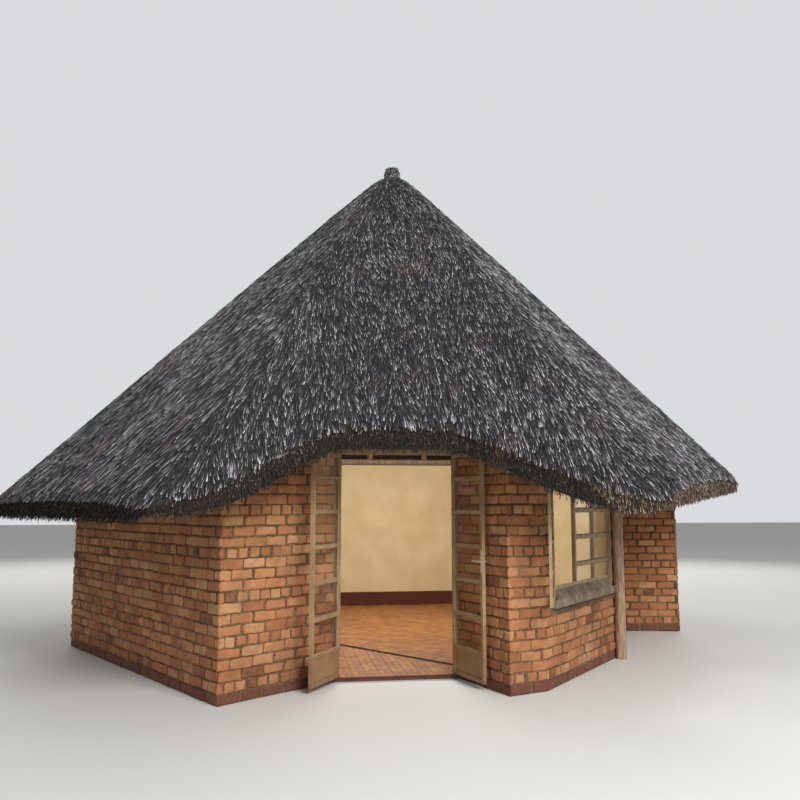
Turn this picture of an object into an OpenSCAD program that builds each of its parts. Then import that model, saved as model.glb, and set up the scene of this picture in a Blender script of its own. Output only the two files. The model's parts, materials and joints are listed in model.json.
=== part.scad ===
// Rondavel hut: a six-sided brick room under a steep rounded thatch roof.
// Millimetres, +Z up. The origin is on the ground under the roof's apex.
// The entrance faces -Y and the porch is on the +X side.

/* [Walls] */
// Distance from the roof axis to an outer wall corner
wall_corner_r = 3660; // [3560:10:3760]
// Wall thickness, one brick long
wall_t = 230; // [190:5:260]
// Height of the walls under the wall plate
wall_h = 2200; // [2180:5:2300]
// Height of the floor above the ground outside
floor_h = 45; // [30:5:80]

/* [Entrance] */
// Middle of the doorway across the front
door_x = -287; // [-340:5:-240]
// Width of the door frame
door_w = 1175; // [1120:5:1220]
// Underside of the door frame's head above the ground
door_head_z = 2060; // [2000:5:2100]
// Depth of the recess from the front line to the doorway
recess_depth = 783; // [700:5:850]
// Place of the pier's left corner across the front
pier_x = 556; // [520:5:600]
// Width of the pier's front face
pier_w = 400; // [360:5:440]
// Turn of the pier's front face away from the front line
pier_turn = 22; // [16:1:26]

/* [Window and porch] */
// Direction of the window wall, from the front line
window_wall_turn = 49.3; // [47:0.1:51]
// Length of the window wall
window_wall_l = 2100; // [2060:10:2160]
// Distance from the pier to the window frame
window_edge = 130; // [115:5:150]
// Width of the window frame
window_w = 1670; // [1600:10:1720]
// Underside of the window frame above the ground
window_sill_z = 750; // [700:5:800]
// Top of the window frame above the ground
window_head_z = 1800; // [1760:5:1840]
// Width of the opening light, which stands open
casement_w = 640; // [560:10:680]
// Angle at which the casement stands open
casement_open = 160; // [100:1:164]
// Direction of the porch's side wall
porch_side_turn = 67; // [65:1:69]
// Direction of the porch's end wall, from the porch to the corner
porch_end_turn = -11.9; // [-14:0.1:-10]
// Diameter of the porch post
post_d = 112; // [90:2:130]

/* [Doors] */
// Thickness of a door leaf
leaf_t = 32; // [28:1:38]
// Width of the door frame's jambs and head
frame_w = 35; // [30:1:40]
// Depth of the door frame
frame_depth = 60; // [55:1:70]
// Width of a leaf's outer rails
rail_w = 35; // [30:1:40]
// Width of a glazing bar
bar_w = 26; // [20:1:32]
// Height of a pane with its bar
pane_pitch = 304; // [290:1:310]
// Height of the solid kick panel
kick_h = 262; // [240:2:290]
// Angle at which the left leaf stands open
left_open = 120; // [60:1:122]
// Angle between the open right leaf and the wall beside it
right_stand_off = 1.07; // [1:0.01:30]

/* [Roof] */
// Fall of the roof on its main sides, rise over run
roof_slope = 1.06; // [1.03:0.01:1.09]
// Fall of the roof on the right rear side
right_slope = 1.0; // [0.97:0.01:1.03]
// Fall of the roof over the porch
porch_slope = 1.104; // [1.08:0.002:1.12]
// Direction that the roof over the porch faces, back from the right
porch_face = 38.3; // [37:0.1:39]
// Overhang of the eaves beyond the walls
overhang = 830; // [760:10:880]
// Vertical thickness of the thatch
thatch_t = 232; // [200:4:260]
// Distance from the roof axis to the rounded eave corners
eave_corner_r = 4580; // [4500:10:4640]
// Distance from the roof axis to the eave over the porch
porch_eave = 3660; // [3600:10:3720]
// How far the eave is cut back over the doorway
eyebrow_cut = 480; // [400:10:520]
// Diameter of the rafter poles
rafter_d = 90; // [80:2:100]
// Diameter of the wall plate poles
plate_d = 100; // [90:2:110]
// Radius of the round cap at the apex
cap_r = 105; // [90:5:108]
// Height of the cap
cap_h = 145; // [120:5:180]

/* [Hidden] */
$fn = 48;

// Small gap that seats one piece on another
seat = 0.3;
// Running gap round a door leaf
leaf_gap = 5;
// Gap where the two leaves meet
meeting_gap = 8;

// Plan corners, anticlockwise from the left end of the front
function corner(k) = wall_corner_r * [cos(60 * k), sin(60 * k)];
function along(a) = [cos(a), sin(a)];
front_d = wall_corner_r * cos(30);
door_y = -front_d + recess_depth;
left_front = corner(4);
door_left = [door_x - door_w / 2, door_y];
door_right = [door_x + door_w / 2, door_y];
pier_left = [pier_x, -front_d];
pier_right = pier_left + pier_w * along(pier_turn);
window_dir = along(window_wall_turn);
window_in = [-window_dir[1], window_dir[0]];
porch_post_corner = pier_right + window_wall_l * window_dir;
right_corner = corner(0);
right_rear = corner(1);
left_rear = corner(2);
left_corner = corner(3);

// Lines along the inner faces, and where two of them meet
function unit(v) = v / norm(v);
function inward(p, q) = [-(q - p)[1], (q - p)[0]] / norm(q - p);
function meet(p, u, q, w) =
    p + u * (w[0] * (p[1] - q[1]) - w[1] * (p[0] - q[0])) / (u[0] * w[1] - u[1] * w[0]);
porch_back = meet(porch_post_corner, along(porch_side_turn), corner(0), along(porch_end_turn));
function inner(a, b, c, d, t = wall_t) =
    meet(a + t * inward(a, b), unit(b - a), c + t * inward(c, d), unit(d - c));
function inner_at_y(a, b, y) = meet(a + wall_t * inward(a, b), unit(b - a), [0, y], [1, 0]);

left_front_in = inner(left_corner, left_front, left_front, door_left);
pier_in = inner(door_right, pier_left, pier_right, porch_post_corner);
porch_post_in = inner(pier_right, porch_post_corner, porch_post_corner, porch_back);
porch_back_in = inner(porch_post_corner, porch_back, porch_back, right_corner);
right_corner_in = inner(porch_back, right_corner, right_corner, right_rear);
right_rear_in = inner(right_corner, right_rear, right_rear, left_rear);
left_rear_in = inner(right_rear, left_rear, left_rear, left_corner);
left_corner_in = inner(left_rear, left_corner, left_corner, left_front);
door_in_y = door_y + wall_t;
door_left_in = [door_left[0], door_in_y];
door_right_in = [door_right[0], door_in_y];
entrance_left_in = inner_at_y(left_front, door_left, door_in_y);
entrance_right_in = inner_at_y(door_right, pier_left, door_in_y);

// Roof faces, each with the direction that it faces and its fall
faces = [[30, right_slope], [90, roof_slope], [150, roof_slope], [210, roof_slope],
    [270, roof_slope], [360 - porch_face, porch_slope]];
face_count = len(faces);
function face(k) = faces[(k + face_count) % face_count];
function face_vec(k) = face(k)[1] * along(face(k)[0]);
function stretch(k) = sqrt(1 + face(k)[1] * face(k)[1]);
rafter_r = rafter_d / 2;
plate_r = plate_d / 2;
plate_line = front_d - wall_t / 2;
main_stretch = sqrt(1 + roof_slope * roof_slope);
roof_stack = rafter_d + plate_r + 2 * seat;
under_apex = wall_h + plate_r + seat + roof_slope * plate_line + roof_stack * main_stretch;
function hip_extra(k) = rafter_r * (max(stretch(k - 1), stretch(k), stretch(k + 1)) - stretch(k));
function plate_axis_z(k) = under_apex - face(k)[1] * plate_line - roof_stack * stretch(k)
    - hip_extra(k) - seat;
function wall_top(k) = plate_axis_z(k) - plate_r;

// Direction of the hip between a roof face and the next one
function hip_az(k) =
    let (v = face_vec(k) - face_vec(k + 1), d = [v[1], -v[0]],
        s = d * (face_vec(k) + face_vec(k + 1)) < 0 ? -1 : 1,
        a = atan2(s * d[1], s * d[0]))
    a < face(k)[0] - 90 ? a + 360 : a;
// Fall of the roof along a direction: sharp under the thatch, rounded above it
hip_round = 26;
function under_fall(a) = max([for (f = faces) f[1] * cos(a - f[0])]);
function top_fall(a) =
    pow(sum([for (f = faces) pow(max(0, f[1] * cos(a - f[0])), hip_round)]), 1 / hip_round);
function sum(v, i = 0) = i < len(v) ? v[i] + sum(v, i + 1) : 0;
function under_z(a, r) = under_apex - under_fall(a) * r;
apex_flat_r = 110;
apex_round = 180;
function blunt(r) = sqrt(r * r + apex_round * apex_round);
top_z = under_apex + thatch_t - roof_slope * blunt(apex_flat_r);
function thatch_z(a, r) = top_z - top_fall(a) * (blunt(r) - blunt(apex_flat_r));

// Eave outline: straight sides with rounded corners, cut back over the doorway
eave_d = front_d + overhang;
front_eave_d = eave_d - 50;
right_eave_d = eave_d - 70;
porch_eave_turn = 36.2;
eyebrow_left = 256;
eyebrow_right = 268;
eyebrow_left_ramp = 13;
eyebrow_right_ramp = 22;
function ease(s) = let (c = min(1, max(0, s))) c * c * (3 - 2 * c);
function eyebrow(a) = ease((a - eyebrow_left + eyebrow_left_ramp) / eyebrow_left_ramp)
    * ease((eyebrow_right + eyebrow_right_ramp - a) / eyebrow_right_ramp);
function side_r(a, n, d) = cos(a - n) > 0.3 ? d / cos(a - n) : 2 * eave_d;
function eave_r(a) = min([side_r(a, 30, right_eave_d), side_r(a, 90, eave_d),
    side_r(a, 150, eave_d), side_r(a, 210, eave_d),
    side_r(a, 270, front_eave_d - eyebrow_cut * eyebrow(a)),
    side_r(a, 360 - porch_eave_turn, porch_eave), eave_corner_r]);

// Colours
brick = "#b98258";
steel_cream = "#c9b78f";
pane = "#9fb4b8";
pole = "#6e5a48";
thatch = "#6d675f";
concrete = "#9a938a";
tile = "#a9683f";
metal = "#b9b9b6";

// One straight piece of wall with a level top
module level_wall(outline, z0, z1) {
    color(brick) translate([0, 0, z0]) linear_extrude(z1 - z0) polygon(outline);
}

// The space at a distance under the thatch, bounded by the six roof faces
module under_roof(drop) {
    reach = 3 * wall_corner_r;
    intersection_for (k = [0:face_count - 1])
        rotate([0, 0, face(k)[0]])
            translate([0, 0, under_apex - drop * stretch(k)])
                rotate([0, atan(face(k)[1]), 0])
                    translate([-reach, -reach, -2 * reach])
                        cube([2 * reach, 2 * reach, 2 * reach]);
}

// One piece of wall that runs up to the rafters
module raised_wall(outline, z0) {
    color(brick) intersection() {
        translate([0, 0, z0]) linear_extrude(under_apex) polygon(outline);
        under_roof(rafter_d + 3);
    }
}

module floor_slab() {
    t = wall_t + seat;
    color(tile) linear_extrude(floor_h)
        polygon([inner(left_corner, left_front, left_front, door_left, t),
            [entrance_left_in[0], door_in_y + seat], [entrance_right_in[0], door_in_y + seat],
            inner(door_right, pier_left, pier_right, porch_post_corner, t),
            inner(pier_right, porch_post_corner, porch_post_corner, porch_back, t),
            inner(porch_post_corner, porch_back, porch_back, right_corner, t),
            inner(porch_back, right_corner, right_corner, right_rear, t),
            inner(right_corner, right_rear, right_rear, left_rear, t),
            inner(right_rear, left_rear, left_rear, left_corner, t),
            inner(left_rear, left_corner, left_corner, left_front, t)]);
}

module left_wall() {
    level_wall([left_corner, left_front, left_front_in, left_corner_in], 0, wall_top(3));
}

module rear_left_wall() {
    level_wall([left_rear, left_corner, left_corner_in, left_rear_in], 0, wall_top(2));
}

module rear_wall() {
    level_wall([right_rear, left_rear, left_rear_in, right_rear_in], 0, wall_top(1));
}

module right_wall() {
    color(brick) difference() {
        intersection() {
            level_wall([right_corner, right_rear, right_rear_in, right_corner_in], 0, wall_top(0));
            under_roof(seat);
        }
        beam_line(post_d + 2 * seat, seat);
    }
}

module entrance_left_wall() {
    raised_wall([left_front, door_left, door_left_in, entrance_left_in, left_front_in], 0);
}

module door_head_wall() {
    raised_wall([door_left, door_right, door_right_in, door_left_in], door_head_z + frame_w);
}

module entrance_right_wall() {
    raised_wall([door_right, pier_left, pier_in, entrance_right_in, door_right_in], 0);
}

module front_pier() {
    raised_wall([pier_left, pier_right, pier_in], 0);
}

// Points of the window wall at a distance from the pier
function window_out_pt(s) = pier_right + s * window_dir;
function window_in_pt(s) = window_out_pt(s) + wall_t * window_in;
window_end = window_edge + window_w;
window_opening = [window_out_pt(window_edge), window_out_pt(window_end),
    window_in_pt(window_end), window_in_pt(window_edge)];
sill_h = 70;

module window_wall_left() {
    raised_wall([pier_right, window_out_pt(window_edge), window_in_pt(window_edge), pier_in], 0);
}

module window_wall_below() {
    level_wall(window_opening, 0, window_sill_z - sill_h);
}

module window_wall_above() {
    raised_wall(window_opening, window_head_z);
}

module window_wall_right() {
    raised_wall([window_out_pt(window_end), porch_post_corner, porch_post_in,
        window_in_pt(window_end)], 0);
}

module porch_side_wall() {
    raised_wall([porch_post_corner, porch_back, porch_back_in, porch_post_in], 0);
}

module porch_end_wall() {
    color(brick) difference() {
        raised_wall([porch_back, right_corner, right_corner_in, porch_back_in], 0);
        beam_line(post_d + 2 * seat, seat);
    }
}

module door_sill() {
    color(concrete) linear_extrude(floor_h)
        polygon([door_left, door_right, door_right_in, door_left_in]);
}

// Steel frame of the doorway, with a stop behind the leaves and hinge knuckles
hinge_in = leaf_gap + frame_w - 6;
hinge_out = 11;
knuckle_r = 8;
knuckle_h = 45;
stop_w = 14;
hinge_heights = [300, 1070, 1840];
module door_frame() {
    clear_w = door_w - 2 * frame_w;
    frame_top = door_head_z + frame_w;
    stop_y = leaf_t + leaf_gap;
    color(steel_cream) {
        difference() {
            translate([door_left[0], door_y, floor_h])
                cube([door_w, frame_depth, frame_top - floor_h]);
            translate([door_left[0] + frame_w, door_y - 1, floor_h - 1])
                cube([clear_w, stop_y + 1, door_head_z - floor_h + 1]);
            translate([door_left[0] + frame_w + stop_w, door_y + stop_y - 1, floor_h - 1])
                cube([clear_w - 2 * stop_w, frame_depth, door_head_z - floor_h - stop_w + 1]);
        }
        for (side = [-1, 1], z = hinge_heights)
            translate([door_x + side * (door_w / 2 - hinge_in), door_y - hinge_out, z]) {
                cylinder(r = knuckle_r, h = knuckle_h);
                translate([side * knuckle_r / 2 - knuckle_r / 2, 0, 0])
                    cube([knuckle_r, hinge_out + 1, knuckle_h]);
            }
    }
}

// A glazed steel leaf in its own frame, hinged at the origin and closed along +X
leaf_start = 6;
leaf_w = (door_w - 2 * frame_w - 2 * leaf_gap - meeting_gap) / 2;
leaf_z0 = floor_h + 8;
leaf_z1 = door_head_z - leaf_gap;
panel_t = 6;
glass_t = 4;
function pane_z0(i) = leaf_z0 + kick_h + i * pane_pitch;
full_panes = 5;
function pane_z1(i) = i < full_panes ? pane_z0(i + 1) - bar_w : leaf_z1 - rail_w;

module door_leaf() {
    color(steel_cream) translate([leaf_start, hinge_out, 0]) {
        difference() {
            translate([0, 0, leaf_z0]) cube([leaf_w, leaf_t, leaf_z1 - leaf_z0]);
            for (i = [0:full_panes])
                translate([rail_w, -1, pane_z0(i)])
                    cube([leaf_w - 2 * rail_w, leaf_t + 2, pane_z1(i) - pane_z0(i)]);
            for (y = [-1, (leaf_t + panel_t) / 2])
                translate([rail_w, y, leaf_z0 + rail_w])
                    cube([leaf_w - 2 * rail_w, (leaf_t - panel_t) / 2 + 1, kick_h - rail_w - bar_w]);
        }
    }
    color(steel_cream) for (z = hinge_heights) translate([0, 0, z + knuckle_h + seat + 0.1]) {
        cylinder(r = knuckle_r, h = knuckle_h);
        translate([2, 0, 0]) cube([leaf_start + 4, hinge_out + 1, knuckle_h]);
    }
}

module door_leaf_glass() {
    color(pane, 0.4) translate([leaf_start + rail_w, hinge_out + (leaf_t - glass_t) / 2, 0])
        for (i = [0:full_panes])
            translate([0, 0, pane_z0(i)])
                cube([leaf_w - 2 * rail_w, glass_t, pane_z1(i) - pane_z0(i)]);
}

right_open = 180 + atan2(pier_left[1] - door_right[1], pier_left[0] - door_right[0]) - right_stand_off;
left_hinge = [door_left[0] + hinge_in, door_y - hinge_out];
right_hinge = [door_right[0] - hinge_in, door_y - hinge_out];
module at_left_hinge() {
    translate(left_hinge) rotate([0, 0, -left_open]) children();
}
module at_right_hinge() {
    translate(right_hinge) rotate([0, 0, right_open]) mirror([1, 0, 0]) children();
}

module left_door() {
    at_left_hinge() door_leaf();
}

module left_door_glass() {
    at_left_hinge() door_leaf_glass();
}

module right_door() {
    at_right_hinge() door_leaf();
}

module right_door_glass() {
    at_right_hinge() door_leaf_glass();
}

// Lever handles and plates on both faces of the right leaf's free rail
handle_z = 1090;
plate_w = 26;
plate_hh = 190;
plate_t = 3;
lever_d = 12;
lever_l = 100;
inner_reach = 42;
outer_reach = 24;
module lever(reach) {
    translate([-plate_w / 2, 0, -plate_hh / 2]) cube([plate_w, plate_t, plate_hh]);
    translate([0, plate_t, 0]) rotate([-90, 0, 0]) cylinder(d = lever_d, h = reach - plate_t);
    translate([-lever_l + lever_d / 2, reach - lever_d, -lever_d / 2])
        cube([lever_l, lever_d, lever_d]);
}
module door_handles() {
    color(metal) at_right_hinge() translate([leaf_start + leaf_w - rail_w / 2, hinge_out, handle_z]) {
        translate([0, leaf_t, 0]) lever(inner_reach);
        mirror([0, 1, 0]) lever(outer_reach);
    }
}

// Steel window: fixed frame with two fixed lights beside the open casement
steel_w = 30;
steel_t = 34;
window_set_back = 5;
window_rows = 4;
light_w = (window_w - casement_w) / 2;
window_h = window_head_z - window_sill_z - 2 * seat;
row_pitch = (window_h - steel_w) / window_rows;
module on_window() {
    translate(window_out_pt(window_edge + seat)) rotate([0, 0, window_wall_turn])
        translate([0, window_set_back, window_sill_z + seat]) children();
}
function light_x(i) = casement_w + (i - 1) * light_w;

module window_frame() {
    color(steel_cream) on_window() difference() {
        cube([window_w - 2 * seat, steel_t, window_h]);
        translate([steel_w, -1, steel_w])
            cube([casement_w - 1.5 * steel_w, steel_t + 2, window_h - 2 * steel_w]);
        for (i = [1, 2], j = [0:window_rows - 1])
            translate([light_x(i) + steel_w / 2, -1, steel_w + j * row_pitch])
                cube([light_w - (i == 2 ? 1.5 : 1) * steel_w, steel_t + 2, row_pitch - steel_w]);
    }
}

module window_glass() {
    color(pane, 0.4) on_window()
        for (i = [1, 2], j = [0:window_rows - 1])
            translate([light_x(i) + steel_w / 2, (steel_t - glass_t) / 2, steel_w + j * row_pitch])
                cube([light_w - (i == 2 ? 1.5 : 1) * steel_w, glass_t, row_pitch - steel_w]);
}

// The sill's lip stops short of the porch post, which stands past the window's end
sill_out = 55;
sill_to_post = 4;
post_past_window = 40;
post_off = post_d / 2 + 6;
post_at = window_out_pt(window_end + post_past_window) - post_off * window_in;
lip_end = window_end + min(0, post_past_window - post_d / 2 - sill_to_post);
module window_sill() {
    color(concrete) translate([0, 0, window_sill_z - sill_h]) linear_extrude(sill_h)
        polygon([window_out_pt(window_edge), window_out_pt(window_edge) - sill_out * window_in,
            window_out_pt(lip_end) - sill_out * window_in, window_out_pt(lip_end),
            window_out_pt(window_end), window_in_pt(window_end), window_in_pt(window_edge)]);
}

// The open casement turns on the frame's left side and is fixed as the photo shows it
casement_rail = 26;
casement_t = 26;
casement_x = 12;
casement_leaf_w = casement_w - steel_w;
casement_h = window_h - 2 * 6;
casement_pitch = (casement_h - casement_rail) / window_rows;
casement_out = 24;
casement_hinges = [170, 820];
module at_casement() {
    on_window() translate([casement_x, -casement_out, 6]) rotate([0, 0, -casement_open]) children();
}

module window_casement() {
    color(steel_cream) {
        at_casement() difference() {
            translate([8, -casement_t / 2, 0]) cube([casement_leaf_w, casement_t, casement_h]);
            for (j = [0:window_rows - 1])
                translate([8 + casement_rail, -casement_t / 2 - 1, casement_rail + j * casement_pitch])
                    cube([casement_leaf_w - 2 * casement_rail, casement_t + 2,
                        casement_pitch - casement_rail]);
        }
        at_casement() for (z = casement_hinges) translate([0, 0, z]) {
            cylinder(r = 7, h = 70);
            translate([0, -4, 0]) cube([12, 8, 70]);
        }
        on_window() for (z = casement_hinges)
            translate([casement_x - 5, -casement_out, z + 6]) cube([10, casement_out - seat, 70]);
    }
}

module casement_glass() {
    color(pane, 0.4) at_casement()
        for (j = [0:window_rows - 1])
            translate([8 + casement_rail, -glass_t / 2, casement_rail + j * casement_pitch])
                cube([casement_leaf_w - 2 * casement_rail, glass_t, casement_pitch - casement_rail]);
}

// Height of the roof's underside over a point of the plan
function under_at(p) = under_z(atan2(p[1], p[0]), norm(p));
beam_r = post_d / 2;
beam_drop = rafter_d * stretch(5) + beam_r * stretch(5) + 3;
function beam_z(p) = under_at(p) - beam_drop;

// A round pole between two points
module pole_between(p, q, d) {
    v = q - p;
    translate(p) rotate([0, acos(v[2] / norm(v)), atan2(v[1], v[0])]) cylinder(d = d, h = norm(v));
}

// The beam runs from the post into a pocket in the corner of the walls
beam_tail = 90;
beam_aim = right_corner + 100 * unit(porch_back - right_corner);
beam_dir = unit(beam_aim - post_at);
beam_from = post_at - beam_tail * beam_dir;
beam_to = beam_aim + 110 * beam_dir;
module beam_line(d, longer) {
    tip = beam_to + longer * beam_dir;
    pole_between([beam_from[0], beam_from[1], beam_z(beam_from)], [tip[0], tip[1], beam_z(tip)], d);
}

module porch_beam() {
    color(pole) beam_line(post_d, 0);
}

module porch_post() {
    color(pole) difference() {
        translate(post_at) cylinder(d = post_d, h = beam_z(post_at) - beam_r / 2);
        beam_line(post_d + 2 * seat, seat);
    }
}

// Poles on the level walls, clear of each other and of the raised walls at the corners
function plate_corner(k) = plate_line / cos(30) * along(60 * k);
function plate_stop(c, c_in, p, u, n) = (meet(c, unit(c_in - c), p + plate_r * n, u) - p) * u;
module wall_plate() {
    color(pole) for (k = [0:3]) {
        z = plate_axis_z(k);
        p = plate_corner(k);
        q = plate_corner(k + 1);
        u = unit(q - p);
        n = inward(p, q);
        near = k == 0 ? plate_stop(right_corner, right_corner_in, p, u, n) + 8 : plate_r;
        far = k == 3 ? plate_stop(left_front, left_front_in, q, -u, n) + 8 : plate_r;
        a = p + near * u;
        b = q - far * u;
        pole_between([a[0], a[1], z], [b[0], b[1], z], plate_d);
    }
}

// Straight rafter poles under the thatch: long ones to the hub, short ones between
rafters_per_face = 4;
hub_r = 200;
short_from = 900;
tail_in = 150;
function rafter_az(k, i) = hip_az(k - 1) + (hip_az(k) + (hip_az(k) < hip_az(k - 1) ? 360 : 0)
    - hip_az(k - 1)) * i / rafters_per_face;
function rafter_drop(k, i) = rafter_r * (i == 0 ? max(stretch(k), stretch(k - 1)) : stretch(k)) + seat;
module rafters() {
    color(pole) for (k = [0:face_count - 1], i = [0:rafters_per_face - 1]) {
        a = rafter_az(k, i);
        drop = rafter_drop(k, i);
        tilt = atan(under_fall(a));
        r0 = i % 2 == 0 ? hub_r + rafter_r * sin(tilt) + seat : short_from;
        r1 = eave_r(a) - tail_in;
        pole_between([r0 * cos(a), r0 * sin(a), under_z(a, r0) - drop],
            [r1 * cos(a), r1 * sin(a), under_z(a, r1) - drop], rafter_d);
    }
}

// Turned block that the long rafters lean on
hub_top = under_apex - porch_slope * hub_r - 6;
hub_h = 300;
module roof_hub() {
    color(pole) translate([0, 0, hub_top - hub_h]) cylinder(r = hub_r, h = hub_h);
}

// Thatch laid in one sloping bed on each roof face, round a plug at the apex
steps_per_face = 18;
lip = 70;
bed_gap = 0.4;
function at(a, r, z) = [r * cos(a), r * sin(a), z];
function wrap(a) = (a + 360) % 360;
function step_az(k, i) = hip_az(k - 1)
    + (hip_az(k) + (hip_az(k) < hip_az(k - 1) ? 360 : 0) - hip_az(k - 1)) * i / steps_per_face;
function bed_loop(a, r) = concat(
    [for (q = [hub_r, 290, 430, 700, 0.35 * r, 0.6 * r, 0.85 * r, r - lip]) at(a, q, thatch_z(a, q))],
    [at(a, r, thatch_z(a, r) - 25), at(a, r - 10, under_z(a, r) + 15),
    at(a, r - lip, under_z(a, r - lip)), at(a, hub_r, under_z(a, hub_r))]);
function bed_side(i) = i == 0 ? bed_gap / 2 : (i == steps_per_face ? -bed_gap / 2 : 0);

// Closed skin from loop to loop, with a flat lid at each end
module loop_skin(loops) {
    n = len(loops[0]);
    m = len(loops);
    function id(j, i) = j * n + i % n;
    polyhedron(points = [for (loop = loops) each loop],
        faces = concat(
            [[for (i = [0:n - 1]) id(0, i)], [for (i = [n - 1:-1:0]) id(m - 1, i)]],
            [for (j = [0:m - 2], i = [0:n - 1]) each
                [[id(j, i), id(j + 1, i + 1), id(j, i + 1)],
                [id(j, i), id(j + 1, i), id(j + 1, i + 1)]]]));
}

module thatch_roof() {
    color(thatch) {
        for (k = [0:face_count - 1])
            loop_skin([for (i = [0:steps_per_face]) let (a = step_az(k, i), r = eave_r(wrap(a)))
                [for (p = bed_loop(a, r)) p + bed_side(i) * [-sin(a), cos(a), 0]]]);
        loop_skin([for (q = [[hub_r - 1, 0], [hub_r - 1, 1], [150, 1], [apex_flat_r, 1]])
            [for (k = [0:face_count - 1], i = [0:2:steps_per_face - 1]) let (a = step_az(k, i))
                at(a, q[0], q[1] == 0 ? under_z(a, hub_r) : thatch_z(a, q[0]))]]);
    }
}

module roof_cap() {
    color(thatch) translate([0, 0, top_z + seat]) rotate_extrude()
        polygon([[0, 0], [cap_r, 0], [0.94 * cap_r, 0.35 * cap_h], [0.8 * cap_r, 0.75 * cap_h],
            [0.55 * cap_r, cap_h], [0, cap_h]]);
}

floor_slab();
left_wall();
rear_left_wall();
rear_wall();
right_wall();
entrance_left_wall();
door_head_wall();
entrance_right_wall();
front_pier();
window_wall_left();
window_wall_below();
window_wall_above();
window_wall_right();
porch_side_wall();
porch_end_wall();
door_sill();
door_frame();
left_door();
left_door_glass();
right_door();
right_door_glass();
door_handles();
window_frame();
window_glass();
window_sill();
window_casement();
casement_glass();
porch_post();
porch_beam();
wall_plate();
rafters();
roof_hub();
thatch_roof();
roof_cap();
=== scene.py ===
# %% [markdown]
# # A brick rondavel under thatch
# The hut is a six-sided brick room with a steep thatch roof. Its walls, doors, window, poles and
# the bed of thatch come from the solid model. This script adds what a builder adds last: the single
# bricks, the straw, the floor tiles, the putty, the plaster and the paint. Each step says what the
# real thing is, how it could be made here, and why this way was chosen.

# %% Load the solid model
import json
import math
import random

import bmesh
import bpy
from mathutils import Matrix, Vector, kdtree

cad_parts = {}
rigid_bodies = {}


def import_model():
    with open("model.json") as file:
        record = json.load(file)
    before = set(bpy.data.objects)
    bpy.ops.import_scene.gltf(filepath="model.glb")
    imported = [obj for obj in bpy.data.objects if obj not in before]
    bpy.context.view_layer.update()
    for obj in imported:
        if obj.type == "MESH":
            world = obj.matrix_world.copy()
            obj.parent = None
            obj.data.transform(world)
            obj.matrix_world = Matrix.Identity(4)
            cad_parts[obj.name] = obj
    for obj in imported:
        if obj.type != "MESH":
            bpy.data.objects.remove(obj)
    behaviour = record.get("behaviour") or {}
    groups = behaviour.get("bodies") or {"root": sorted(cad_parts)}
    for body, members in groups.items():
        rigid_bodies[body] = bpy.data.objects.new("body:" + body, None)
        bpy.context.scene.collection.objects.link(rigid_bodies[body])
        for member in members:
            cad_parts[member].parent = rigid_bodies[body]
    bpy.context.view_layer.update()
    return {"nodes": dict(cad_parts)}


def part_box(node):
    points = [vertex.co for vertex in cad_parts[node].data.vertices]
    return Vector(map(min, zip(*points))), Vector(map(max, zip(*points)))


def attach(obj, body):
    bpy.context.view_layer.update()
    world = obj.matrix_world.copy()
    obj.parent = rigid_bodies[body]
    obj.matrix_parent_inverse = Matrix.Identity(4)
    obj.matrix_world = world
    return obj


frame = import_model()
cad = frame["nodes"]
print("pieces from the solid model:", len(cad))

# %% [markdown]
# Every colour below is written as a painter would read it off a chart, as an sRGB hex value. Blender
# shades in linear light, so one function turns the value over. Another sets or links a node's inputs,
# and the last adds a node with its settings and links, for shader trees and geometry trees alike. Its
# stops are those of a colour ramp.


# %% Colour and node helpers
def linear(hex_colour):
    channels = [int(hex_colour[i : i + 2], 16) / 255 for i in (1, 3, 5)]
    return tuple(c / 12.92 if c <= 0.04045 else ((c + 0.055) / 1.055) ** 2.4 for c in channels) + (1,)


def feed(node, inputs):
    """Links or sets inputs by name or in the node's order; a node stands for its first live output."""
    for name, value in inputs.items() if isinstance(inputs, dict) else enumerate(inputs):
        if isinstance(value, bpy.types.Node):
            value = next(socket for socket in value.outputs if socket.enabled)
        if isinstance(value, bpy.types.NodeSocket):
            node.id_data.links.new(value, node.inputs[name])
        else:
            node.inputs[name].default_value = value


def add(tree, kind, inputs=(), stops=(), **settings):
    node = tree.nodes.new(kind)
    for name, value in settings.items():
        setattr(node, name, value)
    feed(node, inputs)
    for index, (place, colour) in enumerate(stops):
        marks = node.color_ramp.elements
        mark = marks[index] if index < 2 else marks.new(place)
        mark.position = place
        mark.color = linear(colour)
    return node


def new_material(name, roughness):
    material = bpy.data.materials.new(name)
    material.use_nodes = True
    tree = material.node_tree
    shader = tree.nodes["Principled BSDF"]
    feed(shader, {"Roughness": roughness})
    coords = add(tree, "ShaderNodeTexCoord").outputs["Object"]
    return material, tree, shader, coords


# %% [markdown]
# Meshes are built in bmesh, Blender's workshop for single faces. Three small functions take a copy of a
# solid piece to work on, turn finished work into a plain mesh, and put that in the scene.


# %% Mesh helpers
WELD = 0.0006


def work_copy(node, within=WELD):
    """The node's faces with the corners that lie this close together made one."""
    bm = bmesh.new()
    bm.from_mesh(cad[node].data)
    bmesh.ops.remove_doubles(bm, verts=bm.verts, dist=within)
    return bm


def mesh_of(bm, name, finish=None):
    mesh = bpy.data.meshes.new(name)
    bm.to_mesh(mesh)
    bm.free()
    if finish:
        mesh.materials.append(finish)
    return mesh


def put_in_scene(name, data):
    made = bpy.data.objects.new(name, data)
    bpy.context.scene.collection.objects.link(made)
    return made


# %% [markdown]
# Several finishes need no more than one soft noise, which gives both their colour and their relief, so
# one function makes them all. Grain that runs up a pole is the same noise, drawn out along Z.


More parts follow.
